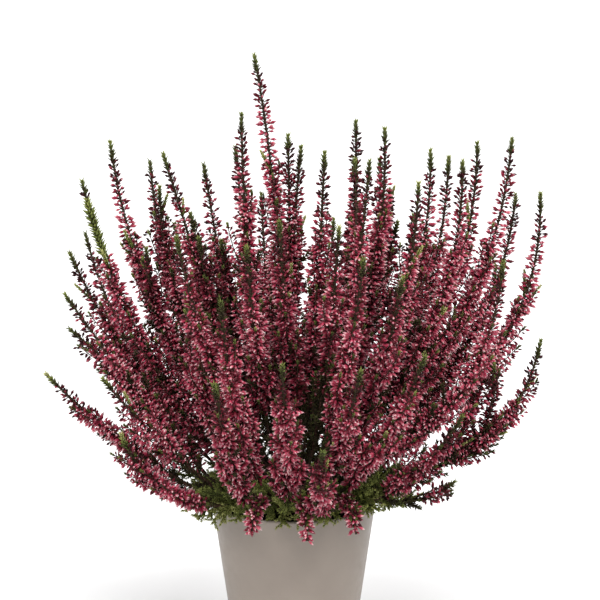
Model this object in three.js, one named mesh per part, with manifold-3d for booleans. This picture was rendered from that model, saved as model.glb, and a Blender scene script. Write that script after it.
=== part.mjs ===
// Potted heather: a bud-blooming Calluna vulgaris in a plain tapered round pot.
// Millimetres, +Z up. The origin is the centre of the pot's underside, and -Y is the front of the plant.
// The rooted plant stands in a plain hole in the soil. It is one body: a woody crown, a leafy cushion of
// scale-leaved twigs and the thin stems. Every stem carries one flower spike, a node of its own.
import * as THREE from "three";
import { mergeVertices } from "three/addons/utils/BufferGeometryUtils.js";
import Module from "manifold-3d";

const wasm = await Module();
wasm.setup();

// ---- Driving dimensions ----

const POT_HEIGHT = 104;
const RIM_RADIUS = 59;
const FOOT_RADIUS = 43.5;
const POT_WALL = 3;
const POT_FLOOR = 4;
const POT_EDGE = 1.5; // the small bevel at the foot and along the rim
const POT_SIDES = 32;

const SOIL_TOP = 92;
const SOIL_GAP = 0.6; // between the soil and the pot
const SOIL_SIDES = 24;
const SEAT_GAP = 0.3; // between pieces that stand on or in each other

const CROWN_RADIUS = 9;
const CROWN_DEPTH = 24; // how deep the woody crown reaches into the soil
const HEART_HEIGHT = 106; // the middle of the leafy cushion, which every shoot grows from
const CUSHION_RADIUS = 42;
const CUSHION_TOP = 133;
const CUSHION_FLOOR = 95.5;
const CUSHION_RELIEF = 7; // how far its tufts of scale leaves stand out
const CUSHION_COLUMNS = 18;
const STEM_ROOT_RADIUS = 1.9;
const STEM_END_RADIUS = 1.2;

const TWIG_CORE = 1.3; // leafy twigs: the radius between the side tufts
const TWIG_REACH = 5.4; // and at their tips
const TWIG_STEP = 6.6; // from one pair of side tufts to the next
const TWIG_RISE = 3.4; // how far a side tuft's tip stands above its root

const DOME_RADIUS = 72; // the buds begin on a dome round the heart, this wide and this high
const DOME_HEIGHT = 50;
const BUD_CORE = 2.3; // flower spikes: the radius between the buds
const BUD_REACH = 9.6; // and at their tips
const BUD_STEP = 10.8; // from one whorl of three buds to the next
const BUD_TURN = 0.2; // how far each whorl turns against the last, as a share of the angle between columns
const BUD_RISE = 2.6; // how far a bud's tip stands above its root
const TIP_LENGTH = 15; // the narrow growing tip above the buds
const TIP_REACH = 2.7; // and its radius where the buds end
const CLEARANCE = 0.5; // kept between pieces that pass each other

// Where each flower spike ends: [x, y, z], how far its curve is drawn outwards from the straight line, and
// for the low ones how far it sags. Those of the outline keep their place in the front view, and bend
// forwards or backwards to pass others.
const OUTLINE_TIPS = [
  [-176, -12, 200, 4, 8], [-158, -50, 264, 4], [-161, 22, 282, 19], [-147, -28, 340, 28], [-154, 75, 288, 42],
  [-130, 10, 363, 33], [-105, 62, 343, 34], [-91, -20, 358, -4], [-65, 35, 344, 3], [-36, -35, 387, 12],
  [-28, 15, 424, -20], [-4, -20, 371, -3], [21, -62, 364, 10], [44, 22, 376, 16], [63, -25, 376, 24],
  [51, -80, 360, 14], [71, 85, 317, 22], [85, -62, 343, 30], [97, 18, 356, 38], [113, 70, 345, 46],
  [117, -28, 354, 48], [131, 30, 360, 50], [152, -15, 368, 50], [161, 52, 320, 60], [174, 2, 327, 80],
  [143, -65, 289, 56], [175, -10, 224, 46, 24],
];
const FRONT_TIPS = [
  [-79, -95, 311, 20], [-32, -120, 306, 18], [-10, -98, 321, 14], [30, -112, 320, 16], [46, -140, 303, 20],
  [-52, -150, 222, 12], [-130, -86, 212, 6], [-118, -80, 172, 14, 18], [-7, -168, 238, 14],
  [19, -150, 176, 8, 4], [44, -158, 232, 14], [87, -130, 236, 16], [114, -105, 190, 14, 4],
  [72, -125, 288, 22], [-46, -140, 276, 18], [-92, -84, 138, 6, 6], [112, -62, 134, 8, 8],
  [-72, -70, 262, 12],
];
const BACK_TIPS = [
  [-90, 110, 290, 22], [-25, 118, 312, 16], [30, 136, 290, 18], [100, 112, 285, 26], [-116, 95, 268, 20],
  [-62, 146, 262, 16], [12, 165, 216, 14], [80, 148, 220, 18], [134, 92, 254, 30],
];
const RIM_TIPS = [[9, -90, 98], [43, -80, 100], [-29, -86, 102]];

const POT_COLOUR = 0xa0968a;
const SOIL_COLOUR = 0x2b1e15;
const LEAF_COLOUR = 0x4a5a24;
const BUD_COLOUR = 0xa83a58;

// ---- Small helpers ----

const vec = (x, y, z) => new THREE.Vector3(x, y, z);
const radians = THREE.MathUtils.degToRad;

// A seeded draw from 0 to 1, so that every run builds the same plant.
function seededDraw(seed) {
  let state = seed;
  return () => {
    state = (state * 1664525 + 1013904223) % 4294967296;
    return state / 4294967296;
  };
}

// The unit direction that leans from the vertical by tilt, towards an azimuth counted from +X.
function leaning(tilt, azimuth) {
  return vec(Math.sin(tilt) * Math.cos(azimuth), Math.sin(tilt) * Math.sin(azimuth), Math.cos(tilt));
}

function solidOf(geometry) {
  const bare = geometry.clone();
  bare.deleteAttribute("normal");
  bare.deleteAttribute("uv");
  const merged = mergeVertices(bare, 1e-4);
  const mesh = new wasm.Mesh({
    numProp: 3,
    vertProperties: merged.attributes.position.array,
    triVerts: new Uint32Array(merged.index.array),
  });
  return new wasm.Manifold(mesh);
}

function geometryOf(solid) {
  const mesh = solid.getMesh();
  const geometry = new THREE.BufferGeometry();
  geometry.setAttribute("position", new THREE.BufferAttribute(mesh.vertProperties, 3));
  geometry.setIndex(new THREE.BufferAttribute(mesh.triVerts, 1));
  return geometry.toNonIndexed();
}

// Keeps the main body of a union: hollows that it seals are filled, and loose scraps dropped.
function largestBody(solid) {
  return solid.decompose().reduce((best, body) => (body.volume() > best.volume() ? body : best));
}

function named(name, geometry, colour, roughness) {
  geometry.computeVertexNormals();
  const material = new THREE.MeshStandardMaterial({ color: colour, roughness, metalness: 0 });
  const mesh = new THREE.Mesh(geometry, material);
  mesh.name = name;
  return mesh;
}

// ---- Shoots: a tube along a curve whose surface is raised into rows of points ----

// Rings round the curve, each turned so that it doesn't twist against the one before.
function ringFrames(curve, distances) {
  const length = curve.getLength();
  const frames = [];
  let across = null;
  for (const distance of distances) {
    const u = THREE.MathUtils.clamp(distance / length, 0, 1);
    const along = curve.getTangentAt(u);
    if (!across) across = Math.abs(along.z) < 0.9 ? vec(0, 0, 1) : vec(1, 0, 0);
    across = across.clone().addScaledVector(along, -across.dot(along)).normalize();
    frames.push({ at: curve.getPointAt(u), along, across, side: along.clone().cross(across) });
  }
  return frames;
}

// A closed skin over rings of vertices, from the point foot to the point top. The diagonals run between
// the vertices whose ring and column add up to an odd number, so that each of the others, where it is
// raised, has four facets.
function closedSkin(rings, foot, top) {
  const columns = rings[0].length;
  const points = [...rings.flat(), foot, top];
  const footIndex = points.length - 2;
  const lastRing = (rings.length - 1) * columns;
  const faces = [];
  for (let j = 0; j < columns; j += 1) {
    const next = (j + 1) % columns;
    faces.push(footIndex, next, j);
    for (let k = 0; k < rings.length - 1; k += 1) {
      const [a, b] = [k * columns + j, k * columns + next];
      const [c, d] = [a + columns, b + columns];
      if ((k + j) % 2 === 0) faces.push(a, b, c, b, d, c);
      else faces.push(a, b, d, a, d, c);
    }
    faces.push(lastRing + j, lastRing + next, footIndex + 1);
  }
  const geometry = new THREE.BufferGeometry();
  geometry.setAttribute("position", new THREE.Float32BufferAttribute(points.flatMap((p) => p.toArray()), 3));
  geometry.setIndex(faces);
  return geometry;
}

function aroundFrame({ at, across, side }, radius, angle) {
  const point = at.clone().addScaledVector(across, radius * Math.cos(angle));
  return point.addScaledVector(side, radius * Math.sin(angle));
}

// Every second vertex of a ring is pushed out to reach(distance, length), and the next ring does the same
// with the vertices between, so that the points stand in a chequer all round.
function raisedShoot({ curve, columns, step, core, reach, rise, turn = 0 }) {
  const length = curve.getLength();
  const count = Math.max(3, Math.round(length / step));
  const distances = Array.from({ length: count + 1 }, (_, k) => (k * length) / count);
  const frames = ringFrames(curve, distances);
  const rings = frames.slice(0, count).map((frame, k) =>
    Array.from({ length: columns }, (_, j) => {
      const angle = ((j + turn * k) * 2 * Math.PI) / columns;
      if (k === 0 || (k + j) % 2 === 1) return aroundFrame(frame, core(distances[k], length), angle);
      const point = aroundFrame(frame, reach(distances[k], length), angle);
      return point.addScaledVector(frame.along, Math.min(rise, length - distances[k] - 0.5));
    }),
  );
  return closedSkin(rings, frames[0].at, frames[count].at);
}

// A plain stem of three sides, from inside the cushion to its upper end.
function plainStem(curve) {
  const shares = [0.3, 0.65, 1 - SEAT_GAP / curve.getLength()];
  const frames = ringFrames(curve, shares.map((share) => share * curve.getLength()));
  const rings = frames.map((frame, k) => {
    const radius = THREE.MathUtils.lerp(STEM_ROOT_RADIUS, STEM_END_RADIUS, k / 2);
    return [0, 1, 2].map((j) => aroundFrame(frame, radius, (j * 2 * Math.PI) / 3));
  });
  return closedSkin(rings, frames[0].at, frames[2].at);
}

// ---- Where the shoots grow ----

const HEART = vec(0, 0, HEART_HEIGHT);

// Tiers of leafy twigs, each standing in its own upright plane through the pot's axis: how many, the
// azimuth of the first in degrees, and the twig's root, middle and end as [radius, height]. The lowest
// tier hangs over the pot's rim.
const TWIG_TIERS = [
  [15, -97, [[26, 108], [66, 127], [73, 89]]],
  [11, -85, [[24, 110], [50, 120], [70, 118]]],
  [10, -100, [[18, 114], [36, 132], [48, 143]]],
  [6, -75, [[8, 118], [18, 138], [25, 154]]],
  [1, 30, [[0, 120], [2, 140], [3, 160]]],
];

function twigCurves() {
  return TWIG_TIERS.flatMap(([count, first, profile]) =>
    Array.from({ length: count }, (_, k) => {
      const azimuth = radians(first + (360 * k) / count + 4 * Math.sin(2.7 * k));
      const spread = 1 + 0.06 * Math.sin(1.9 * k + count);
      const points = profile.map(([radius, height], end) => {
        const reach = end === 2 ? radius * spread : radius;
        return vec(reach * Math.cos(azimuth), reach * Math.sin(azimuth), height);
      });
      return new THREE.QuadraticBezierCurve3(...points);
    }),
  );
}

// A stem leaves the heart low, leaning further out than its spike, and turns up towards it.
function stemCurve(shoot) {
  const way = shoot.base.clone().sub(HEART);
  const lean = Math.acos(way.z / way.length());
  const azimuth = Math.atan2(way.y, way.x);
  const start = leaning(Math.min(1.15 * lean, radians(84)), azimuth);
  const end = shoot.middle.clone().sub(shoot.base).normalize();
  const pull = way.length() / 3;
  return new THREE.CubicBezierCurve3(
    HEART,
    HEART.clone().addScaledVector(start, pull),
    shoot.base.clone().addScaledVector(end, -pull),
    shoot.base.clone(),
  );
}

const spikeCurve = (shoot) => new THREE.QuadraticBezierCurve3(shoot.base, shoot.middle, shoot.tip);

// Each control point of a shoot remembers its home, which it is drawn back to while the shoots bend.
function freeToBend(shoot) {
  const points = [shoot.base, shoot.middle, shoot.tip];
  return { ...shoot, points, home: points.map((point) => point.clone()) };
}

// A spike stands on the dome further out than its tip leans, and curves upwards on its way to the tip.
function newShoot([x, y, z, bow, sag = 0], hold) {
  const tip = vec(x, y, z);
  const azimuth = Math.atan2(y, x);
  const tipLean = Math.atan2(Math.hypot(x, y), z - HEART_HEIGHT);
  const onDome = Math.min(1.26 * tipLean + radians(4), radians(82));
  const radius = DOME_RADIUS * Math.sin(onDome);
  const height = HEART_HEIGHT + DOME_HEIGHT * Math.cos(onDome);
  const base = vec(radius * Math.cos(azimuth), radius * Math.sin(azimuth), height);
  const outwards = vec(Math.cos(azimuth), Math.sin(azimuth), 0);
  const middle = base.clone().lerp(tip, 0.5).addScaledVector(outwards, bow);
  middle.z -= sag;
  return freeToBend({ base, middle, tip, hold });
}

// A short head that hangs over the pot's rim.
function hangingShoot([x, y, z]) {
  const out = vec(x, y, 0).normalize();
  const base = out.clone().multiplyScalar(RIM_RADIUS + 8.5).setZ(POT_HEIGHT + 15);
  const middle = out.clone().multiplyScalar(RIM_RADIUS + 28).setZ(POT_HEIGHT + 20);
  return freeToBend({ base, middle, tip: vec(x, y, z), hold: HELD_FAST });
}

// How far the base, middle and tip of a shoot may be bent, as [across and up, in depth].
const FREE = [[1, 1], [1, 1], [1, 1]];
const HELD_IN_OUTLINE = [[1, 1], [1, 1], [0.12, 1]];
const HELD_FAST = [[0, 0], [0, 0], [0, 0]];

const shoots = [
  ...OUTLINE_TIPS.map((tip) => newShoot(tip, HELD_IN_OUTLINE)),
  ...FRONT_TIPS.map((tip) => newShoot(tip, FREE)),
  ...BACK_TIPS.map((tip) => newShoot(tip, FREE)),
  ...RIM_TIPS.map((tip) => hangingShoot(tip)),
];

// ---- Bending the shoots clear of each other ----

const BEND_ROUNDS = 400;
const BEND_DONE = 0.05; // the overlap at which bending stops
const HOME_PULL = 0.004; // the share of its way home that each point is drawn back in a round
const STEM_SAMPLES = [0.5, 0.6, 0.7, 0.8, 0.9, 0.98];
const TWIG_SAMPLES = [0.4, 0.5, 0.6, 0.7, 0.8, 0.9, 1];
const SPIKE_SAMPLES = Array.from({ length: 17 }, (_, k) => k / 16);

// A spike is widest in its lower half, and closes at its base and towards its tip.
function reachOfSpike(distance, length) {
  const fromTip = length - distance;
  if (fromTip < TIP_LENGTH) return THREE.MathUtils.lerp(1.2, TIP_REACH, fromTip / TIP_LENGTH);
  const opening = Math.min(1, (fromTip - TIP_LENGTH + 14) / 60);
  const closing = Math.min(1, 0.6 + distance / 60);
  return BUD_REACH * Math.sqrt(opening) * closing;
}

// Points along a shoot, each with its radius and the share that the base, middle and tip have in it.
function chainOf(shoot) {
  const stem = stemCurve(shoot);
  const spike = spikeCurve(shoot);
  const length = spike.getLength();
  const onStem = STEM_SAMPLES.map((t) => ({
    at: stem.getPoint(t),
    radius: STEM_ROOT_RADIUS,
    isSpike: false,
    shares: [t, 0, 0],
  }));
  const onSpike = SPIKE_SAMPLES.map((t) => ({
    at: spike.getPoint(t),
    radius: t * length > length - TIP_LENGTH ? TIP_REACH + CLEARANCE : reachOfSpike(t * length, length),
    isSpike: true,
    shares: [(1 - t) ** 2, 2 * t * (1 - t), t ** 2],
  }));
  return [...onStem, ...onSpike];
}

const twigs = twigCurves();
const twigSamples = twigs.flatMap((twig) =>
  TWIG_SAMPLES.map((t) => ({ at: twig.getPoint(t), radius: t < 1 ? TWIG_REACH : 0.6 * TWIG_REACH })),
);

function push(shoot, sample, way, amount) {
  const weight = sample.shares.reduce((sum, share) => sum + share * share, 0.05);
  shoot.points.forEach((point, k) => {
    const step = (amount * sample.shares[k]) / weight;
    const [inView, inDepth] = shoot.hold[k];
    point.x += way.x * step * inView;
    point.y += way.y * step * inDepth;
    point.z += way.z * step * inView;
  });
}

// A sample near the pot's rim is pushed up, or outwards where that is the shorter way for a spike.
function clearOfPot(shoot, sample) {
  const radius = Math.hypot(sample.at.x, sample.at.y);
  const room = sample.radius + 2 * CLEARANCE;
  const outside = RIM_RADIUS + room - radius;
  const above = POT_HEIGHT + room - sample.at.z;
  if (outside <= 0 || above <= 0) return;
  if (above < outside || !sample.isSpike) push(shoot, sample, vec(0, 0, 1), above * 0.6);
  else push(shoot, sample, vec(sample.at.x / radius, sample.at.y / radius, 0), outside * 0.6);
}

function clearOfTwigs(shoot, sample) {
  for (const twig of twigSamples) {
    const way = sample.at.clone().sub(twig.at);
    const overlap = sample.radius + twig.radius + 2 * CLEARANCE - way.length();
    if (overlap > 0) push(shoot, sample, way.normalize(), overlap * 0.5);
  }
}

// Pushes two shoots apart where a spike meets a spike or a stem, and returns the deepest overlap.
function clearOfEachOther(shoot, chain, neighbour, otherChain) {
  const way = vec(0, 0, 0);
  let worst = 0;
  for (const one of chain) {
    for (const other of otherChain) {
      if (!one.isSpike && !other.isSpike) continue;
      way.subVectors(one.at, other.at);
      const overlap = one.radius + other.radius + CLEARANCE - way.length();
      if (overlap <= 0) continue;
      worst = Math.max(worst, overlap);
      way.normalize();
      push(shoot, one, way, overlap * 0.3);
      push(neighbour, other, way, -overlap * 0.3);
    }
  }
  return worst;
}

function bendClear() {
  for (let round = 0; round < BEND_ROUNDS; round += 1) {
    for (const shoot of shoots) {
      shoot.points.forEach((point, k) => point.lerp(shoot.home[k], HOME_PULL));
    }
    const chains = shoots.map(chainOf);
    let worst = 0;
    for (const [i, shoot] of shoots.entries()) {
      for (const sample of chains[i]) {
        clearOfPot(shoot, sample);
        if (sample.isSpike) clearOfTwigs(shoot, sample);
      }
      for (let j = i + 1; j < shoots.length; j += 1) {
        worst = Math.max(worst, clearOfEachOther(shoot, chains[i], shoots[j], chains[j]));
      }
    }
    if (worst < BEND_DONE) break;
  }
}

bendClear();

// ---- The pieces ----

const POT_SLOPE = (RIM_RADIUS - FOOT_RADIUS) / POT_HEIGHT;
const potOutside = (z) => FOOT_RADIUS + POT_SLOPE * z;
const potInside = (z) => potOutside(z) - POT_WALL;

function turned(profile, sides) {
  const points = profile.map(([radius, height]) => new THREE.Vector2(radius, height));
  return new THREE.LatheGeometry(points, sides).rotateX(Math.PI / 2);
}

function pot() {
  const shoulder = POT_HEIGHT - POT_EDGE;
  return turned(
    [
      [0, 0],
      [FOOT_RADIUS - POT_EDGE, 0],
      [potOutside(POT_EDGE), POT_EDGE],
      [potOutside(shoulder), shoulder],
      [potOutside(POT_HEIGHT) - POT_EDGE / 2, POT_HEIGHT],
      [potInside(POT_HEIGHT) + POT_EDGE / 2, POT_HEIGHT],
      [potInside(shoulder), shoulder],
      [potInside(POT_FLOOR), POT_FLOOR],
      [0, POT_FLOOR],
    ],
    POT_SIDES,
  );
}

function lumpHeight(x, y) {
  return 0.9 * Math.sin(x / 5.1 + 1.3) * Math.cos(y / 4.3) + 0.7 * Math.sin((x + y) / 7.7);
}

function soil() {
  const wall = (z) => potInside(z) - SOIL_GAP;
  const floor = POT_FLOOR + SEAT_GAP;
  const shoulder = SOIL_TOP - 3;
  const rings = [0.88, 0.62, 0.3].map((share) => [wall(SOIL_TOP) * share, SOIL_TOP]);
  const profile = [[0, floor], [wall(floor), floor], [wall(shoulder), shoulder], ...rings, [0, SOIL_TOP]];
  const geometry = turned(profile, SOIL_SIDES);
  const position = geometry.attributes.position;
  for (let k = 0; k < position.count; k += 1) {
    if (position.getZ(k) < SOIL_TOP - 0.1) continue;
    position.setZ(k, SOIL_TOP + lumpHeight(position.getX(k), position.getY(k)));
  }
  const holeRadius = CROWN_RADIUS + SEAT_GAP;
  const hole = new THREE.CylinderGeometry(holeRadius, holeRadius, 2 * CROWN_DEPTH, 10);
  hole.rotateX(Math.PI / 2).translate(0, 0, SOIL_TOP - SEAT_GAP);
  return geometryOf(solidOf(geometry).subtract(solidOf(hole)));
}

// The cushion is a dome whose every second vertex is drawn out into a tuft. Each row is its share of the
// cushion's radius and of its height.
function cushion() {
  const rows = [[0.97, 0.1], [1, 0.3], [0.9, 0.52], [0.72, 0.72], [0.48, 0.88], [0.22, 0.97]];
  const rings = rows.map(([wide, high], k) =>
    Array.from({ length: CUSHION_COLUMNS }, (_, j) => {
      const angle = (j * 2 * Math.PI) / CUSHION_COLUMNS;
      const isRaised = k > 0 && (k + j) % 2 === 0;
      const relief = isRaised ? CUSHION_RELIEF * (0.75 + 0.25 * Math.sin(5.3 * j + 2.1 * k)) : 0;
      const radius = (CUSHION_RADIUS + relief) * wide;
      const height = THREE.MathUtils.lerp(CUSHION_FLOOR, CUSHION_TOP + relief, high);
      return vec(radius * Math.cos(angle), radius * Math.sin(angle), height);
    }),
  );
  return closedSkin(rings, vec(0, 0, CUSHION_FLOOR), vec(0, 0, CUSHION_TOP));
}

function leafyTwig(curve) {
  const closing = (distance, length) => Math.min(1, (length - distance + 8) / 24);
  return raisedShoot({
    curve,
    columns: 4,
    step: TWIG_STEP,
    core: (distance, length) => TWIG_CORE * closing(distance, length),
    reach: (distance, length) => TWIG_REACH * closing(distance, length),
    rise: TWIG_RISE,
  });
}

// The crown, the cushion, the twigs and the stems, grown together in one body.
function leafyPlant() {
  const height = HEART_HEIGHT - SOIL_TOP + CROWN_DEPTH;
  const crown = new THREE.CylinderGeometry(CROWN_RADIUS, CROWN_RADIUS, height, 10);
  crown.rotateX(Math.PI / 2).translate(0, 0, HEART_HEIGHT - height / 2);
  const stems = shoots.map((shoot) => plainStem(stemCurve(shoot)));
  const pieces = [crown, cushion(), ...twigs.map(leafyTwig), ...stems].map(solidOf);
  return geometryOf(largestBody(wasm.Manifold.union(pieces)));
}

function flowerSpike(shoot, seed) {
  const draw = seededDraw(seed);
  return raisedShoot({
    curve: spikeCurve(shoot),
    columns: 6,
    step: BUD_STEP,
    core: (distance, length) => Math.min(BUD_CORE, 0.9 + distance / 4, 0.7 + (length - distance) / 18),
    reach: (distance, length) => reachOfSpike(distance, length) * (0.88 + 0.12 * draw()),
    rise: BUD_RISE,
    turn: BUD_TURN,
  });
}

const heather = new THREE.Group();
heather.add(named("pot", pot(), POT_COLOUR, 0.55));
heather.add(named("soil", soil(), SOIL_COLOUR, 0.95));
heather.add(named("leafy_plant", leafyPlant(), LEAF_COLOUR, 0.7));
for (const [k, shoot] of shoots.entries()) {
  const name = `flower_spike_${String(k + 1).padStart(2, "0")}`;
  heather.add(named(name, flowerSpike(shoot, 11 + k), BUD_COLOUR, 0.6));
}

export default heather;
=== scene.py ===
import math

import bpy
import numpy as np
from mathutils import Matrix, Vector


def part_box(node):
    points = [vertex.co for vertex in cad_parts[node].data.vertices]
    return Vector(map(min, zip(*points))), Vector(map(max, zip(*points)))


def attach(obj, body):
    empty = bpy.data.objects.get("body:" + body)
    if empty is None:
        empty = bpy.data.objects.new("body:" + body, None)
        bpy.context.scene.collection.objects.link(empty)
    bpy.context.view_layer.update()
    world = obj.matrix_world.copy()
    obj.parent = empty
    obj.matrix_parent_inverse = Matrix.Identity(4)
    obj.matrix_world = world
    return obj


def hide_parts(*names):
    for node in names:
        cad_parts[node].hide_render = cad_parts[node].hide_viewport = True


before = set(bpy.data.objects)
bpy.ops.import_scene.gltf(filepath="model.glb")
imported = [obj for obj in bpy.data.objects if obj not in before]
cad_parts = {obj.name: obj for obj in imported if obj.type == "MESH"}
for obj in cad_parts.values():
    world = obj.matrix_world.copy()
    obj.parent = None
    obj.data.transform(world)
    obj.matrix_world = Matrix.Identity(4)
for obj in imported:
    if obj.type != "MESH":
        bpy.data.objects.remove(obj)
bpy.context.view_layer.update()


# ==== The pot ====
# A plain tapered pot without a saucer, moulded in one piece from a taupe plastic with a satin
# skin. Its lip is rounded over, and it stands on a narrow ring round a base raised by a hair.

MM = 0.001
FOOT_RADIUS = 43.5 * MM
POT_WALL = 3 * MM
POT_FLOOR = 4 * MM
LIP_ROUND = 1.5 * MM
FOOT_RING = 5 * MM  # how wide the ring is that the pot stands on
BASE_RISE = 0.9 * MM
RING_SLOPE = 1.5 * MM
RING_ROUND = 0.5 * MM
EDGE_GAP = 0.4 * MM
WALL_START = 2.4 * MM  # how far inside its ends the wall's straight run begins
OUTER_RINGS = [10 * MM, 35 * MM, 70 * MM, 96 * MM]  # heights of the wall's rings, up its outside
INNER_RINGS = [96 * MM, 60 * MM, 20 * MM]  # and down its inside
POT_TURNS = 128
POT_TAUPE_DARK = (0.166, 0.137, 0.114, 1)
POT_TAUPE_PALE = (0.183, 0.153, 0.127, 1)

_, pot_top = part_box("pot")
POT_HEIGHT = pot_top.z
RIM_RADIUS = pot_top.x


def outside_of_pot(height):
    """The radius of the pot's outside at a height."""
    return FOOT_RADIUS + (RIM_RADIUS - FOOT_RADIUS) * height / POT_HEIGHT


def inside_of_pot(height):
    """The radius of the pot's inside at a height."""
    return outside_of_pot(height) - POT_WALL


def arc(centre, radius, start, end, steps):
    """Points (radius, height) on an arc of the turned profile, between two angles in degrees."""
    turns = np.radians(np.linspace(start, end, steps + 1))
    return [(centre[0] + radius * math.cos(a), centre[1] + radius * math.sin(a)) for a in turns]


def tube_faces(rings, sides):
    """Triangles of a closed tube that ends in a point at either end, and their places round it."""
    triangles, around = [], []
    last = 1 + rings * sides
    for k in range(sides):
        n = (k + 1) % sides
        triangles.append((0, 1 + n, 1 + k))
        around.append((k + 0.5, k + 1, k))
        for low in range(1, last - sides, sides):
            high = low + sides
            triangles += [(low + k, low + n, high + n), (low + k, high + n, high + k)]
            around += [(k, k + 1, k + 1), (k, k + 1, k)]
        triangles.append((last - sides + k, last - sides + n, last))
        around.append((k, k + 1, k + 0.5))
    return np.array(triangles), np.array(around) / sides


def turned(profile, sides):
    """A closed body turned round the Z axis from a profile (radius, height) with both ends on it."""
    turns = np.arange(sides) * 2 * math.pi / sides
    rings = [[(r * math.cos(a), r * math.sin(a), z) for a in turns] for r, z in profile[1:-1]]
    points = [(0, 0, profile[0][1])] + [p for ring in rings for p in ring] + [(0, 0, profile[-1][1])]
    return np.array(points, float), tube_faces(len(rings), sides)[0]


def mesh_piece(name, points, triangles, finishes):
    """A smooth object made of triangles, with its list of materials."""
    mesh = bpy.data.meshes.new(name)
    mesh.vertices.add(len(points))
    mesh.vertices.foreach_set("co", np.asarray(points, np.float32).ravel())
    mesh.loops.add(3 * len(triangles))
    mesh.loops.foreach_set("vertex_index", np.asarray(triangles, np.int32).ravel())
    mesh.polygons.add(len(triangles))
    mesh.polygons.foreach_set("loop_start", np.arange(0, 3 * len(triangles), 3, dtype=np.int32))
    mesh.polygons.foreach_set("use_smooth", np.ones(len(triangles), bool))
    mesh.update(calc_edges=True)
    for finish in finishes:
        mesh.materials.append(finish)
    piece = bpy.data.objects.new(name, mesh)
    bpy.context.scene.collection.objects.link(piece)
    return piece


def new_finish(name, roughness, specular=0.5):
    """A material with its node tree, its links and its one shader."""
    material = bpy.data.materials.new(name)
    material.use_nodes = True
    tree = material.node_tree
    shader = tree.nodes["Principled BSDF"]
    shader.inputs["Roughness"].default_value = roughness
    shader.inputs["Specular IOR Level"].default_value = specular
    return material, tree, shader


def noise_on(tree, scale, detail=4.0, roughness=0.5):
    """The grey value of a noise that lies in the piece's own space, with so many grains a metre."""
    place = tree.nodes.new("ShaderNodeTexCoord")
    noise = tree.nodes.new("ShaderNodeTexNoise")
    noise.inputs["Scale"].default_value = scale
    noise.inputs["Detail"].default_value = detail
    noise.inputs["Roughness"].default_value = roughness
    tree.links.new(place.outputs["Object"], noise.inputs["Vector"])
    return noise.outputs["Fac"]


def ramp_on(tree, value, stops):
    """A colour ramp over a grey value, from stops of (place, colour)."""
    ramp = tree.nodes.new("ShaderNodeValToRGB")
    points = ramp.color_ramp.elements
    while len(points) < len(stops):
        points.new(0.5)
    for point, (place, colour) in zip(points, stops):
        point.position = place
        point.color = colour
    tree.links.new(value, ramp.inputs["Fac"])
    return ramp.outputs["Color"]


def grey(value):
    return (value, value, value, 1)


def bump_on(tree, shader, height, strength, distance):
    """Raises the shader's surface by a grey value."""
    bump = tree.nodes.new("ShaderNodeBump")
    bump.inputs["Strength"].default_value = strength
    bump.inputs["Distance"].default_value = distance
    tree.links.new(height, bump.inputs["Height"])
    tree.links.new(bump.outputs["Normal"], shader.inputs["Normal"])


def satin_plastic():
    """Taupe plastic: faintly cloudy in its colour, with a skin that is a little uneven to the light."""
    material, tree, shader = new_finish("satin_taupe_plastic", 0.42)
    clouds = noise_on(tree, 38, detail=5)
    colour = ramp_on(tree, clouds, [(0.3, POT_TAUPE_DARK), (0.7, POT_TAUPE_PALE)])
    tree.links.new(colour, shader.inputs["Base Color"])
    sheen = ramp_on(tree, noise_on(tree, 160), [(0.3, grey(0.36)), (0.7, grey(0.5))])
    tree.links.new(sheen, shader.inputs["Roughness"])
    bump_on(tree, shader, noise_on(tree, 1400, detail=2), 0.06, 0.0003)
    return material


ring_inside = FOOT_RADIUS - FOOT_RING
pot_profile = (
    [(0, BASE_RISE), (ring_inside - RING_SLOPE, BASE_RISE)]
    + arc((ring_inside, RING_ROUND), RING_ROUND, 180, 270, 4)
    + [(FOOT_RADIUS - LIP_ROUND - EDGE_GAP, 0)]
    + arc((FOOT_RADIUS - LIP_ROUND, LIP_ROUND), LIP_ROUND, 270, 360, 6)
    + [(outside_of_pot(z), z) for z in (WALL_START, *OUTER_RINGS, POT_HEIGHT - WALL_START)]
    + arc((RIM_RADIUS - LIP_ROUND, POT_HEIGHT - LIP_ROUND), LIP_ROUND, 0, 180, 10)
    + [(inside_of_pot(z), z) for z in (POT_HEIGHT - WALL_START, *INNER_RINGS, POT_FLOOR + LIP_ROUND)]
    + [(inside_of_pot(POT_FLOOR) - LIP_ROUND, POT_FLOOR), (0, POT_FLOOR)]
)
pot = mesh_piece("taupe_pot", *turned(pot_profile, POT_TURNS), [satin_plastic()])
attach(pot, "root")
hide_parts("pot")


# ==== The compost ====
# Dark peat compost, filled in loose to a finger's width under the lip and firmed by hand. Bark
# chips and crumbs lie on it.

SOIL_TOP = 92 * MM
SOIL_GAP = 0.6 * MM
SOIL_EDGE = 2 * MM  # how much lower the compost's edge begins
SOIL_TURNS = 96
SOIL_RINGS = 26
CHIP_COUNT = 220
CHIP_SEED = 7
CHIP_SIZES = (0.5, 1.7)  # half width in mm
CHIP_MARGIN = 4 * MM
PEAT_DARK = (0.010, 0.006, 0.004, 1)
PEAT_BROWN = (0.045, 0.027, 0.016, 1)
BARK_CHIP = (0.110, 0.062, 0.034, 1)


def lump_height(x, y):
    """How far the compost stands above its level, in broad lumps and small crumbs."""
    across, deep = x / MM, y / MM
    broad = 0.9 * np.sin(across / 5.1 + 1.3) * np.cos(deep / 4.3) + 0.7 * np.sin((across + deep) / 7.7)
    crumbs = 0.35 * np.sin(across * 1.9 + 2 * np.sin(deep * 0.7)) * np.cos(deep * 2.1 + across * 0.4)
    return (broad + crumbs) * MM


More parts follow.
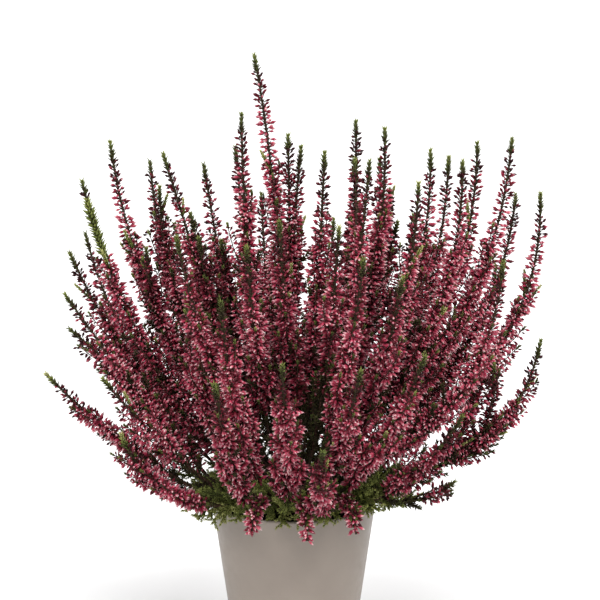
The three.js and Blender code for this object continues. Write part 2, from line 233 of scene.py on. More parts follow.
def peat():
    """Peat: near black and brown fibres, matt and rough."""
    material, tree, shader = new_finish("peat_compost", 0.95, specular=0.1)
    grain = noise_on(tree, 420, detail=8, roughness=0.7)
    colour = ramp_on(tree, grain, [(0.35, PEAT_DARK), (0.55, PEAT_BROWN), (0.72, BARK_CHIP)])
    tree.links.new(colour, shader.inputs["Base Color"])
    bump_on(tree, shader, grain, 0.8, 0.0012)
    return material


def compost_body():
    """The compost as one closed body: a lumpy top over the inside of the pot."""
    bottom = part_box("soil")[0].z
    edge = inside_of_pot(SOIL_TOP) - SOIL_GAP
    low_edge = inside_of_pot(bottom) - SOIL_GAP
    rings = [(0, bottom), (low_edge * 0.5, bottom), (low_edge, bottom), (edge, SOIL_TOP - SOIL_EDGE)]
    rings += [(edge * (1 - k / SOIL_RINGS), SOIL_TOP) for k in range(SOIL_RINGS + 1)]
    points, triangles = turned(rings, SOIL_TURNS)
    top = points[:, 2] > SOIL_TOP - MM
    points[top, 2] += lump_height(points[top, 0], points[top, 1])
    return points, triangles


def chips(count, seed):
    """Crumbs and bark chips: flat six-sided splinters that lie half sunk, each turned its own way."""
    draw = np.random.default_rng(seed)
    body, faces = turned([(0, -0.5), (1, -0.3), (1, 0.3), (0, 0.5)], 6)
    all_points, all_faces = [], []
    for k in range(count):
        reach = (inside_of_pot(SOIL_TOP) - CHIP_MARGIN) * math.sqrt(draw.random())
        turn, roll, tilt = draw.uniform(0, 2 * math.pi, 3) * (1, 1, 0.08)
        x, y = reach * math.cos(turn), reach * math.sin(turn)
        size = draw.uniform(*CHIP_SIZES) * MM
        splinter = body * (size * draw.uniform(1.0, 2.4), size, size * draw.uniform(0.5, 1.0))
        splinter[:, 2] += splinter[:, 0] * math.sin(tilt)
        turned_x = splinter[:, 0] * math.cos(roll) - splinter[:, 1] * math.sin(roll)
        turned_y = splinter[:, 0] * math.sin(roll) + splinter[:, 1] * math.cos(roll)
        level = SOIL_TOP + lump_height(x, y) + 0.2 * size
        all_points.append(np.column_stack([turned_x + x, turned_y + y, splinter[:, 2] + level]))
        all_faces.append(faces + k * len(body))
    return np.concatenate(all_points), np.concatenate(all_faces)


soil_points, soil_faces = compost_body()
chip_points, chip_faces = chips(CHIP_COUNT, CHIP_SEED)
compost = mesh_piece(
    "peat_compost",
    np.concatenate([soil_points, chip_points]),
    np.concatenate([soil_faces, chip_faces + len(soil_points)]),
    [peat()],
)
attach(compost, "root")
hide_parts("soil")


# ==== The woody stems ====
# One plant, rooted in the middle of the pot: a low gnarled stool at the level of the compost,
# from which thin brown stems arch outwards, one to each flowering shoot and each leafy twig.

HEART = np.array((0, 0, 106)) * MM  # all stems rise from here
STOOL_PROFILE = [(0, 84), (8.6, 86), (9.0, 91), (8.2, 96), (6.6, 101), (4.6, 106), (2.4, 109), (0, 110)]
STOOL_TURNS = 28
STEM_SEED = 11
STEM_SIDES = 5
STEM_ROOT = 1.7 * MM
STEM_END = 0.95 * MM
STEM_LOWEST = math.radians(84)  # no stem leaves the heart lower than this, measured from upright
KNOT_DEPTH = 0.09
KNOT_WAVE = 31  # the wave of knots along a stem, in radians
TWIG_ROOT = 1.1 * MM
TWIG_END = 0.4 * MM
# Tiers of leafy twigs: how many, first azimuth and sweep in degrees, and the twigs' root, middle and
# end as (radius, height) in mm.
TWIG_TIERS = [
    (14, -97, 360, ((26, 108), (62, 124), (67, 104))),
    (11, -85, 360, ((24, 110), (50, 120), (73, 115))),
    (18, -108, 360, ((22, 107), (48, 122), (63, 106))),
    (9, -112, 360, ((22, 110), (44, 130), (64, 128))),
    (8, -93, 360, ((30, 109), (64, 122), (86, 122))),
    (7, -100, 360, ((18, 114), (36, 132), (48, 143))),
    (6, -66, 360, ((12, 116), (26, 146), (36, 176))),
    (9, -58, 62, ((30, 109), (62, 124), (86, 113))),
    (8, -54, 62, ((30, 110), (62, 130), (84, 130))),
    (5, -48, 50, ((28, 110), (50, 136), (64, 148))),
    (12, 166, 70, ((30, 108), (60, 122), (78, 103))),
    (6, 178, 56, ((28, 110), (50, 126), (68, 118))),
    (6, -86, 44, ((28, 108), (48, 114), (60, 107))),
]
BARK_DARK = (0.024, 0.011, 0.009, 1)
BARK_BROWN = (0.085, 0.042, 0.030, 1)
BARK_GREEN = (0.022, 0.019, 0.011, 1)
BARK, LEAF, BUD = 0, 1, 2  # a plant piece's finishes, by their place in its materials
SHADES = 16  # a body's shade is one of so many steps
COLUMN_MARGIN = 0.06
ROW_MARGIN = 0.1
STEEP = 0.8  # the upward share of a direction past which it counts as steep


def between(start, end, share):
    """The value that lies a share of the way from start to end."""
    return start + (end - start) * share


class Growth:
    """The closed bodies of one plant piece, gathered as arrays until its mesh is made.

    Their colour chart has a column for each finish, from foot to tip, and a row for each shade."""

    def __init__(self):
        self.points, self.triangles, self.along, self.shade = [], [], [], []
        self.chart, self.finish = [], []
        self.size = 0

    def add(self, points, body, shades, finish):
        """Takes in copies of a body: points of each copy, and the body's (triangles, along, around)."""
        triangles, along, around = body
        copies, corners = points.shape[:2]
        step = np.clip(np.asarray(shades) * SHADES, 0, SHADES - 1).astype(int)
        self.points.append(points.reshape(-1, 3))
        starts = self.size + corners * np.arange(copies)
        self.triangles.append((triangles[None] + starts[:, None, None]).reshape(-1, 3))
        self.along.append(np.tile(along, copies))
        self.shade.append(np.repeat((step + 0.5) / SHADES, corners))
        chart = np.empty((copies, *triangles.shape, 2))
        chart[..., 0] = (finish + between(COLUMN_MARGIN, 1 - COLUMN_MARGIN, along[triangles])) / 3
        chart[..., 1] = (step[:, None, None] + between(ROW_MARGIN, 1 - ROW_MARGIN, around)) / SHADES
        self.chart.append(chart.reshape(-1, 2))
        self.finish.append(np.full(copies * len(triangles), finish))
        self.size += copies * corners

    def piece(self, name, finishes):
        """The object, with each body's shade and the place along it for its material to read."""
        made = mesh_piece(name, np.concatenate(self.points), np.concatenate(self.triangles), finishes)
        mesh = made.data
        mesh.polygons.foreach_set("material_index", np.concatenate(self.finish).astype(np.int32))
        for label, values in (("along", self.along), ("shade", self.shade)):
            attribute = mesh.attributes.new(label, "FLOAT", "POINT")
            attribute.data.foreach_set("value", np.concatenate(values).astype(np.float32))
        chart = mesh.uv_layers.new(name="OFBake")
        chart.uv.foreach_set("vector", np.concatenate(self.chart).astype(np.float32).ravel())
        return made


def unit(vectors):
    return vectors / np.linalg.norm(vectors, axis=-1, keepdims=True)


def swung(first, second, angle):
    """The direction at an angle from the first one, towards the second."""
    return math.cos(angle) * first + math.sin(angle) * second


def across_of(ways):
    """Two directions across each way, which make a right-handed frame with it."""
    helper = np.where(np.abs(ways[..., 2:3]) < STEEP, (0.0, 0.0, 1.0), (1.0, 0.0, 0.0))
    side = unit(np.cross(ways, helper))
    return side, np.cross(ways, side)


def sides_along(path, ways):
    """One direction across each way of a path, which turns steadily along it."""
    chord = unit(path[-1] - path[0])
    helper = (0.0, 0.0, 1.0) if abs(chord[2]) < STEEP else (1.0, 0.0, 0.0)
    return unit(np.cross(ways, helper))


def round_the_middle(points, triangles):
    """How far round the Z axis each corner of each triangle lies, from 0 to 1."""
    return (np.arctan2(points[triangles, 1], points[triangles, 0]) / (2 * math.pi)) % 1


def add_stem(growth, path, radii, sides, shade):
    """A round stem along a path of points, closed at both ends."""
    ways = unit(np.gradient(path, axis=0))
    side = sides_along(path, ways)
    over = np.cross(ways, side)
    turns = np.arange(sides) * 2 * math.pi / sides
    out = np.cos(turns)[None, :, None] * side[:, None] + np.sin(turns)[None, :, None] * over[:, None]
    rings = path[:, None] + radii[:, None, None] * out
    points = np.concatenate([path[:1], rings.reshape(-1, 3), path[-1:]])
    triangles, around = tube_faces(len(path), sides)
    along = np.concatenate([[0], np.repeat(np.linspace(0, 1, len(path)), sides), [1]])
    growth.add(points[None], (triangles, along, around), [shade], BARK)


def bezier(controls, shares):
    """Points on a curve with three or four control points, at shares of its run from 0 to 1."""
    t = np.asarray(shares)[:, None]
    while len(controls) > 1:
        controls = [a * (1 - t) + b * t for a, b in zip(controls, controls[1:])]
    return controls[0]


def axis_of_shoot(node):
    """Base, middle and tip of the curve round which a flowering shoot's CAD body grows."""
    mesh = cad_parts[node].data
    places = np.empty(3 * len(mesh.vertices), np.float32)
    mesh.vertices.foreach_get("co", places)
    places = places.reshape(-1, 3).astype(float)
    reach = np.linalg.norm(places - HEART, axis=1)
    base, tip = places[reach.argmin()], places[reach.argmax()]
    middle = (base + tip) / 2
    shares = np.linspace(0, 1, 81)
    for _ in range(8):
        line = bezier([base, middle, tip], shares)
        nearest = np.linalg.norm(places[:, None] - line[None], axis=2).argmin(axis=1)
        t = shares[nearest][:, None]
        weight = 2 * t * (1 - t)
        rest = places - (1 - t) ** 2 * base - t**2 * tip
        middle = (weight * rest).sum(axis=0) / (weight**2).sum()
    return base, middle, tip


def leaning(lean, azimuth):
    """The direction that leans away from upright, towards an azimuth."""
    out = math.sin(lean)
    return np.array((out * math.cos(azimuth), out * math.sin(azimuth), math.cos(lean)))


def stem_to(base, middle):
    """The controls of the stem that rises out of the heart and runs on into a flowering shoot."""
    way = base - HEART
    far = np.linalg.norm(way)
    lean = math.acos(way[2] / far)
    start = leaning(min(1.15 * lean, STEM_LOWEST), math.atan2(way[1], way[0]))
    end = unit(middle - base)
    return [HEART, HEART + start * far / 3, base - end * far / 3, base]


def twig_controls(tier, k):
    """Root, middle and end of a tier's leafy twig, which curves over like an umbrella's stay."""
    count, first, sweep, line = tier
    azimuth = math.radians(first + sweep * k / count + 4 * math.sin(2.7 * k))
    spread = 1 + 0.06 * math.sin(1.9 * k + count)
    controls = []
    for (radius, height), stretch in zip(line, (1, 1, spread)):
        out = radius * stretch
        controls.append(np.array((out * math.cos(azimuth), out * math.sin(azimuth), height)) * MM)
    return controls


def label_on(tree, label):
    """The value that a plant piece's points carry under a label: along or shade."""
    carried = tree.nodes.new("ShaderNodeAttribute")
    carried.attribute_name = label
    return carried.outputs["Fac"]


def mix_on(tree, share, first, second):
    """The first colour turning into the second, plain or a socket's, by a grey value."""
    mix = tree.nodes.new("ShaderNodeMix")
    mix.data_type = "RGBA"
    tree.links.new(share, mix.inputs["Factor"])
    tree.links.new(first, mix.inputs["A"])
    if isinstance(second, tuple):
        mix.inputs["B"].default_value = second
    else:
        tree.links.new(second, mix.inputs["B"])
    return mix.outputs["Result"]


def bark():
    """Thin brown bark, almost black in its furrows, and olive towards the young end of a stem."""
    material, tree, shader = new_finish("heather_bark", 0.8, specular=0.1)
    furrows = noise_on(tree, 900, detail=6)
    brown = ramp_on(tree, furrows, [(0.35, BARK_DARK), (0.68, BARK_BROWN)])
    young = ramp_on(tree, label_on(tree, "along"), [(0.55, grey(0)), (1.0, grey(0.8))])
    tree.links.new(mix_on(tree, young, brown, BARK_GREEN), shader.inputs["Base Color"])
    bump_on(tree, shader, furrows, 0.7, 0.0006)
    return material


bark_finish = bark()
shoot_nodes = sorted(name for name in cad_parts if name.startswith("flower_spike_"))
shoot_axes = {node: axis_of_shoot(node) for node in shoot_nodes}
draw = np.random.default_rng(STEM_SEED)

twig_lines = [twig_controls(tier, k) for tier in TWIG_TIERS for k in range(tier[0])]
woody = Growth()
stool_profile = [(radius * MM, height * MM) for radius, height in STOOL_PROFILE]
stool, stool_faces = turned(stool_profile, STOOL_TURNS)
angle = np.arctan2(stool[:, 1], stool[:, 0])
gnarl = 1 + 0.10 * np.sin(5 * angle + stool[:, 2] / (3 * MM)) + 0.06 * np.sin(11 * angle + 2)
stool[:, :2] *= gnarl[:, None]
stool_rise = stool[:, 2] - stool[0, 2]
stool_along = np.clip(stool_rise / stool_rise[-1], 0, 0.5)
stool_body = (stool_faces, stool_along, round_the_middle(stool, stool_faces))
woody.add(stool[None], stool_body, [0.3], BARK)
for node in shoot_nodes:
    base, middle, _ = shoot_axes[node]
    shares = np.linspace(0, 1, 14)
    path = bezier(stem_to(base, middle), shares)
    knots = 1 + KNOT_DEPTH * np.sin(shares * KNOT_WAVE + draw.uniform(0, 6))
    add_stem(woody, path, between(STEM_ROOT, STEM_END, shares) * knots, STEM_SIDES, draw.random())
for root, middle, end in twig_lines:
    path = bezier([HEART, (HEART + root) / 2 + (0, 0, 2 * MM), root], np.linspace(0, 1, 6))
    path = np.concatenate([path[:-1], bezier([root, middle, end], np.linspace(0, 1, 14))])
    shares = np.linspace(0, 1, len(path))
    add_stem(woody, path, between(TWIG_ROOT, TWIG_END, shares), STEM_SIDES, draw.random())
stems = woody.piece("woody_stems", [bark_finish])
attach(stems, "root")


# ==== The leafy twigs ====
# Heather's leaves are scales of about three millimetres in close whorls, so each twig looks like
# a fine green cord with shorter cords all round it. The ends are a lighter yellow green.

LEAF_LENGTH = 3.3 * MM
LEAF_WIDTH = 0.72 * MM
LEAF_STEP = 1.5 * MM
LEAVES_ROUND = 3
TWIG_SEED = 23
TWIG_POINTS = 40
BARE_POINTS = 10  # how many of them, from the root, carry no leaves
LOW_TIER = 110 * MM  # twigs that end lower hang in the light, and are painted paler as light
LOW_TIER_PAINTED_LIGHT = 0.14
HIGH_TIER = 140 * MM  # twigs that end higher stand among the shoots, and are painted darker as shade
HIGH_TIER_PAINTED_SHADE = 0.6
SPRIG_STEP = 2.0 * MM
SPRIG_LENGTH = 12 * MM
SPRIG_LEAN = math.radians(48)
SPRIG_RISE = 0.12
SPIRAL = 2.4  # the turn in radians from one sprig or side shoot to the next
LEAF_DEEP = (0.018, 0.008, 0.003, 1)
LEAF_GREEN = (0.068, 0.088, 0.014, 1)
LEAF_FRESH = (0.205, 0.228, 0.044, 1)
LEAF_YELLOW = (0.360, 0.360, 0.120, 1)
LEAF_BASE = (0.026, 0.022, 0.006, 1)


def pointed_leaf():
    """A scale leaf of unit length along Z: three-sided, broad where it sits, and pointed."""
    points = [(math.cos(a), math.sin(a), 0) for a in np.arange(3) * 2 * math.pi / 3] + [(0, 0, 1)]
    triangles = [(0, 2, 1), (0, 1, 3), (1, 2, 3), (2, 0, 3)]
    around = [(0, 0.67, 0.33), (0, 0.33, 0.17), (0.33, 0.67, 0.5), (0.67, 1, 0.83)]
    points = np.array(points, float)
    return points, (np.array(triangles), points[:, 2], np.array(around))


def strew(growth, template, roots, ways, lengths, widths, shades, finish):
    """A copy of the template at each root, pointing its way, with its own length and half width."""
    points, body = template
    side, over = across_of(ways)
    across = points[None, :, 0:1] * side[:, None] + points[None, :, 1:2] * over[:, None]
    placed = roots[:, None] + lengths[:, None, None] * points[None, :, 2:3] * ways[:, None]
    growth.add(placed + widths[:, None, None] * across, body, shades, finish)


def marks_on(path):
    """How far along a path each of its points lies."""
    steps = np.linalg.norm(np.diff(path, axis=0), axis=1)
    return np.concatenate([[0], np.cumsum(steps)])


def read_off(vectors, marks, distances):
    """The vectors along a path, read off at distances along it."""
    return np.column_stack([np.interp(distances, marks, vectors[:, axis]) for axis in range(3)])


def clothe(
    growth, path, draw, shade, step=LEAF_STEP, leaf=LEAF_LENGTH, rows=LEAVES_ROUND, lean=0.62, fresh=0.0
):
    """Clothes a path in scale leaves, in turning whorls that end in shorter, more upright leaves.

    lean is how far in radians the leaves stand off, fresh how much paler they grow up the path."""
    marks = marks_on(path)
    count = max(2, int(marks[-1] / step))
    distances = (np.arange(count) + 0.5) * marks[-1] / count
    places = read_off(path, marks, distances)
    ways = unit(read_off(np.gradient(path, marks, axis=0), marks, distances))
    side, over = across_of(ways)
    from_end = np.clip((marks[-1] - distances) / (2 * leaf), 0.0, 1.0)
    half_turns = 0.5 * (np.arange(count) % 2)
    tips, lengths = [], []
    for row in range(rows):
        turn = 2 * math.pi * (row + half_turns) / rows + draw.uniform(-0.3, 0.3, count)
        out = np.cos(turn)[:, None] * side + np.sin(turn)[:, None] * over
        angle = lean * (0.7 + 0.3 * from_end) + draw.uniform(-0.1, 0.1, count)
        tips.append(np.cos(angle)[:, None] * ways + np.sin(angle)[:, None] * out)
        lengths.append(leaf * (0.8 + 0.2 * from_end) * draw.uniform(0.85, 1.15, count))
    roots, tips, lengths = np.tile(places, (rows, 1)), np.concatenate(tips), np.concatenate(lengths)
    lighter = 0.28 * (1 - from_end) + fresh * distances / marks[-1]
    shades = shade + np.tile(lighter, rows) + draw.normal(0, 0.07, len(roots))
    widths = LEAF_WIDTH * lengths / LEAF_LENGTH
    strew(growth, leaf_template, roots, tips, lengths, widths, shades, LEAF)


def clouded(tree, colour, grains, darkest, saturation=1.0):
    """The colour, darkened in places by a fine noise with so many grains a metre."""
    clouds = tree.nodes.new("ShaderNodeHueSaturation")
    clouds.inputs["Saturation"].default_value = saturation
    value = ramp_on(tree, noise_on(tree, grains), [(0.3, grey(darkest)), (0.7, grey(1))])
    tree.links.new(value, clouds.inputs["Value"])
    tree.links.new(colour, clouds.inputs["Color"])
    return clouds.outputs["Color"]


def scale_leaf():
    """Leaf skin: dark at the base, its green set by the leaf's own shade and clouded a little."""
    material, tree, shader = new_finish("scale_leaf", 0.6, specular=0.15)
    stops = [(0.0, LEAF_DEEP), (0.35, LEAF_GREEN), (0.7, LEAF_FRESH), (1.0, LEAF_YELLOW)]
    green = ramp_on(tree, label_on(tree, "shade"), stops)
    to_base = ramp_on(tree, label_on(tree, "along"), [(0.0, grey(0.7)), (0.45, grey(0))])
    leaf = mix_on(tree, to_base, green, LEAF_BASE)
    tree.links.new(clouded(tree, leaf, 700, 0.75, saturation=0.95), shader.inputs["Base Color"])
    return material


def straight(root, way, length, rise=0.0):
    """A short path of three points that bends upwards by a share of its length."""
    middle = root + way * length / 2
    end = root + way * length + np.array((0, 0, rise * length))
    return np.array([root, middle, end])


def sprig_on(path, k, share, draw):
    """The path of a twig's side sprig, which leans out from it and is shorter near its end."""
    at = int(share * (TWIG_POINTS - 1))
    way = unit(path[min(at + 1, TWIG_POINTS - 1)] - path[at - 1])
    side, over = across_of(way[None])
    out = swung(side[0], over[0], SPIRAL * k + draw.normal(0, 0.4))
    lean = SPRIG_LEAN * draw.uniform(0.8, 1.15)
    length = SPRIG_LENGTH * (1.0 - 0.4 * share) * draw.uniform(0.65, 1.15)
    return straight(path[at], swung(way, out, lean), length, SPRIG_RISE)


leaf_finish = scale_leaf()
leaf_template = pointed_leaf()
draw = np.random.default_rng(TWIG_SEED)
twigs = Growth()
for controls in twig_lines:
    path = bezier(controls, np.linspace(0, 1, TWIG_POINTS))
    height = controls[-1][2]
    # painted light on the low twigs, painted shade on the high ones
    shade = draw.uniform(0.2, 0.5) + LOW_TIER_PAINTED_LIGHT * (height < LOW_TIER) - HIGH_TIER_PAINTED_SHADE * (height > HIGH_TIER)
    clothe(twigs, path[BARE_POINTS:], draw, shade)
    count = int(marks_on(path)[-1] / SPRIG_STEP)
    for k in range(count // 4, count):
        sprig = sprig_on(path, k, k / count, draw)
        clothe(twigs, sprig, draw, shade + draw.uniform(-0.04, 0.12))
leafy_twigs = twigs.piece("leafy_twigs", [bark_finish, leaf_finish])
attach(leafy_twigs, "root")


# ==== The leafy heart ====
# Between the stems the plant is a dense low cushion of leafy sprigs, painted dark as shade because
# little light falls inside it. Its sprigs all stand outwards from a mat of brown leaf litter.

CUSHION_RADIUS = 36 * MM
CUSHION_TOP = 128 * MM
CUSHION_FLOOR = 96 * MM
CUSHION_SPRIGS = 330
CUSHION_SEED = 31
SPRIG_ROOTS = 0.8  # how far out in the cushion its sprigs begin
GOLDEN_TURN = math.radians(137.508)
MAT_SHARE = 0.86
MAT_TURNS = 60
MAT_RINGS = 26


def mat_body():
    """The mat of litter and short twigs inside the cushion: a low dome with a knobbly skin."""
    height = CUSHION_TOP - CUSHION_FLOOR
    profile = [(0, CUSHION_FLOOR)]
    for k in range(1, MAT_RINGS):
        turn = math.pi * k / MAT_RINGS
        radius = CUSHION_RADIUS * MAT_SHARE * math.sin(turn) ** 0.7
        profile.append((radius, CUSHION_FLOOR + height * MAT_SHARE * (1 - math.cos(turn)) / 2))
    profile.append((0, CUSHION_FLOOR + height * MAT_SHARE))
    points, triangles = turned(profile, MAT_TURNS)
    x, y, z = points.T / MM
    knobs = np.sin(1.3 * x + 2 * np.sin(0.6 * y)) * np.sin(1.1 * y + 0.8 * z)
    knobs += 0.5 * np.sin(2.3 * z + 1.7 * x)
    foot = np.array((0, 0, CUSHION_FLOOR))
    return foot + (points - foot) * (1 + 0.035 * knobs[:, None]), triangles


draw = np.random.default_rng(CUSHION_SEED)
heart = Growth()
mat, mat_faces = mat_body()
mat_along = np.full(len(mat), 0.2)
heart.add(mat[None], (mat_faces, mat_along, round_the_middle(mat, mat_faces)), [0.0], BARK)
cushion_size = np.array((CUSHION_RADIUS, CUSHION_RADIUS, CUSHION_TOP - CUSHION_FLOOR))
for k in range(CUSHION_SPRIGS):
    lean = math.acos(1 - (k + 0.5) / CUSHION_SPRIGS)
    way = leaning(lean, k * GOLDEN_TURN)
    root = np.array((0, 0, CUSHION_FLOOR)) + way * cushion_size * SPRIG_ROOTS
    way = unit(way + draw.normal(0, 0.35, 3) + (0, 0, 0.3))
    sprig = straight(root, way, draw.uniform(6, 11) * MM, 0.1)
    # painted shade: the cushion's sprigs are coloured dark as the shade inside it
    clothe(heart, sprig, draw, draw.uniform(-0.1, 0.16))
leafy_heart = heart.piece("leafy_heart", [bark_finish, leaf_finish])
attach(leafy_heart, "root")
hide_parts("leafy_plant")


# ==== The flowering shoots ====
# Each shoot is a thin dark stem set with whorls of closed, four-sepalled buds, and ends in a green
# leafy tip. Side shoots with whorls of their own rise close round it and thicken it.

BUD_LENGTH = 7.8 * MM
HEAD_BUD_LENGTH = 7.0 * MM
BUD_WIDTH = 1.2 * MM
BUD_RINGS = [(0.30, 0.38), (0.64, 1.0)]  # (share of the length, share of the half width)
INNER_BUD_RINGS = [(0.58, 1.0)]
SHOOT_SEED = 100
SHOOT_STEM_ROOT = 1.2 * MM
SHOOT_STEM_TIP = 0.8 * MM
SHORT_SHOOT = 60 * MM  # shorter shoots are heads, in bud right to their tips
OPENING_RUN = 60 * MM  # how far below a stem's tip its buds are full grown
SIDE_OPENING_RUN = 14 * MM
HEAD_OPENING_RUN = 7 * MM
WHORL_STEP_LOW = 3.1 * MM
WHORL_STEP_HIGH = 4.4 * MM
WHORL_BUDS = (4, 7)  # a whorl has four to six buds, and up to two more near a tip
BUD_LEAN_TIP = 44  # how far in degrees a bud leans out at its stem's tip
BUD_LEAN_LOW = 74  # and further down
BUD_CHANCE = 0.75  # of a bud growing in the dark
LIT_CHANCE = 0.6  # and how much more of it in full light
HANG = np.array((0, 0, 0.22))  # how far a bud's own weight turns it down
ALL_ROUND = np.zeros(3)  # a main stem faces no side more than another
SIDE_SHOOTS = ((28 * MM, 62 * MM), (22, 42), 6.6 * MM)  # lengths, leans in degrees and bud length
SIDE_SHOOT_STEP = 10.5 * MM
SIDE_SHOOT_SPAN = (0.03, 0.67)  # where along a shoot side shoots stand, as shares of its length
SIDE_SHORTER = 0.45  # how much shorter they grow towards the end of that span
SIDE_SHOOT_WIDE = 1.4  # how much more side shoots stand out to the sides than above and below
SIDE_RISE = np.array((0, 0, 1.6))  # how far side shoots turn up on a shoot that leans
SIDE_STEM_ROOT = 0.6 * MM
SIDE_STEM_TIP = 0.35 * MM
HEAD_SIDE_SHOOTS = ((10 * MM, 17 * MM), (54, 78), 6.2 * MM)
HEAD_SIDE_COUNT = 12
INNER_SPRIG_RUN = 100 * MM
INNER_SPRIG_STEP = 6.5 * MM
INNER_SPREAD = 52 * MM  # shoots that start nearer the middle than this have a leafy foot
INNER_LEAFY_RUN = 52 * MM
LEAFY_RUNS = {  # shoots that carry leaves alone for a longer way from their base, in mm
    "01": 24, "27": 60, "40": 26, "43": 20, "44": 44, "31": 92, "32": 62, "38": 44, "34": 46,
}
GREEN_STRETCHES = {"04": (56, 14)}  # where leaves alone grow again, from and to in mm below the tip
YELLOW_TIPS = {"01": 0.85, "35": 0.7, "31": 0.6, "18": 0.6}
YOUNG_SHOOTS = [  # the older shoot each grows from, how far up it, its tip in mm, and its side shoots
    ("12", 0.24, (5, -22, 363), 3),
    ("17", 0.30, (75, 42, 301), 6),
    ("10", 0.30, (-41, -12, 362), 3),
    ("27", 0.28, (141, -14, 209), 5),
    ("16", 0.36, (42, -30, 355), 3),
    ("27", 0.05, (131, -22, 217), 8),
    ("02", 0.30, (-156, -45, 239), 4),
    ("06", 0.33, (-104, -10, 290), 5),
    ("08", 0.30, (-66, -30, 300), 6),
    ("09", 0.28, (-52, 14, 292), 6),
    ("17", 0.45, (68, 12, 329), 2),
    ("18", 0.32, (84, -6, 313), 8),
    ("08", 0.24, (-72, -20, 316), 8),
    ("15", 0.42, (60, -10, 353), 4),
    ("07", 0.40, (-97, 40, 327), 4),
]
LEAST_LIGHT = 0.12  # light is a share, from this in the thick of the plant to 1 in the open
DEEP_SHADE = 0.24  # below this light buds are painted darker as shade, and each stands for a clump
DIM_LIGHT = 0.42  # above it buds near a tip show their whole form
FULL_LIGHT = 0.55  # above it plain buds have four sides, and below it three
FULL_BUDS_RUN = 66 * MM  # how far below a shoot's tip whole buds reach
YOUNG_RUN = 56 * MM  # how far below a long shoot's tip its buds are darker
# painted shade: how much darker buds in deep shade are coloured
PAINTED_SHADE_TONE = 0.45
SHADED_GIRTH = 1.8
# How far a bud's shade moves: at a stem's tip, up to full growth, in the light, near a long tip.
TIP_DARKER = 0.55
GROWN_PALER = 0.62
# painted light and shade: a bud is coloured paler where it stands free and darker in the thick of the
# plant
PAINTED_LIGHT_PALER = 0.28
YOUNG_DARKER = 0.4
BUD_CALYX = (0.046, 0.027, 0.010, 1)
BUD_SHADES = [
    (0.00, (0.014, 0.001, 0.002, 1)),
    (0.25, (0.060, 0.003, 0.007, 1)),
    (0.50, (0.178, 0.012, 0.026, 1)),
    (0.75, (0.350, 0.029, 0.066, 1)),
    (1.00, (0.480, 0.098, 0.138, 1)),
]
BUD_TIP_SHADES = [
    (0.00, (0.040, 0.005, 0.009, 1)),
    (0.35, (0.180, 0.036, 0.050, 1)),
    (0.70, (0.630, 0.312, 0.355, 1)),
    (1.00, (0.880, 0.710, 0.680, 1)),
]


def closed_bud(rings, sides):
    """A bud of unit length along Z, closed to a point at either end, with rings (height, radius)."""
    turns = np.arange(sides) * 2 * math.pi / sides
    points = [(0, 0, 0)]
    for height, radius in rings:
        points += [(radius * math.cos(a), radius * math.sin(a), height) for a in turns]
    points.append((0, 0, 1))
    triangles, around = tube_faces(len(rings), sides)
    points = np.array(points, float)
    return points, (triangles, points[:, 2], around)


def bud_skin():
    """Bud skin: a brown calyx, then crimson to rose by the bud's own shade, paling at the tip."""
    material, tree, shader = new_finish("heather_bud", 0.55, specular=0.14)
    shade, place = label_on(tree, "shade"), label_on(tree, "along")
    to_tip = ramp_on(tree, place, [(0.68, grey(0)), (0.95, grey(1))])
    to_calyx = ramp_on(tree, place, [(0.12, grey(1)), (0.34, grey(0))])
    sepals = mix_on(tree, to_tip, ramp_on(tree, shade, BUD_SHADES), ramp_on(tree, shade, BUD_TIP_SHADES))
    bud = mix_on(tree, to_calyx, sepals, BUD_CALYX)
    tree.links.new(clouded(tree, bud, 650, 0.72), shader.inputs["Base Color"])
    return material


class Axis:
    """A stem's own line, with the frame at any distance along it.

    A side shoot's axis also has its start along the main stem and the way that it faces."""

    def __init__(self, controls, start=0.0, outside=ALL_ROUND):
        self.line = bezier(list(controls), np.linspace(0, 1, 121))
        self.marks = marks_on(self.line)
        self.length = self.marks[-1]
        self.ways = unit(np.gradient(self.line, axis=0))
        self.sides = sides_along(self.line, self.ways)
        self.start, self.outside = start, outside

    def at(self, distance):
        """Place, way, side and over at a distance from the base."""
        fields = (self.line, self.ways, self.sides)
        place, way, side = (read_off(field, self.marks, distance)[0] for field in fields)
        return place, way, side, np.cross(way, side)

    def part(self, start, end, count):
        """Points along the line from one distance to another."""
        return read_off(self.line, self.marks, np.linspace(start, end, count))


def light_along(node, stations=30, near=34 * MM, least=10):
    """For stations along a shoot: the way to the light past its neighbours, and how free it stands."""
    places = bezier(list(shoot_axes[node]), np.linspace(0, 1, stations))
    away = places[:, None] - neighbours_of[node][None]
    far = np.linalg.norm(away, axis=2)
    close = far < near
    crowd = close.sum(axis=1)
    pull = (away / far[..., None] * close[..., None]).sum(axis=1) / np.maximum(crowd, least)[:, None]
    free = np.clip(1 - crowd / least, 0, 1)
    return pull, free


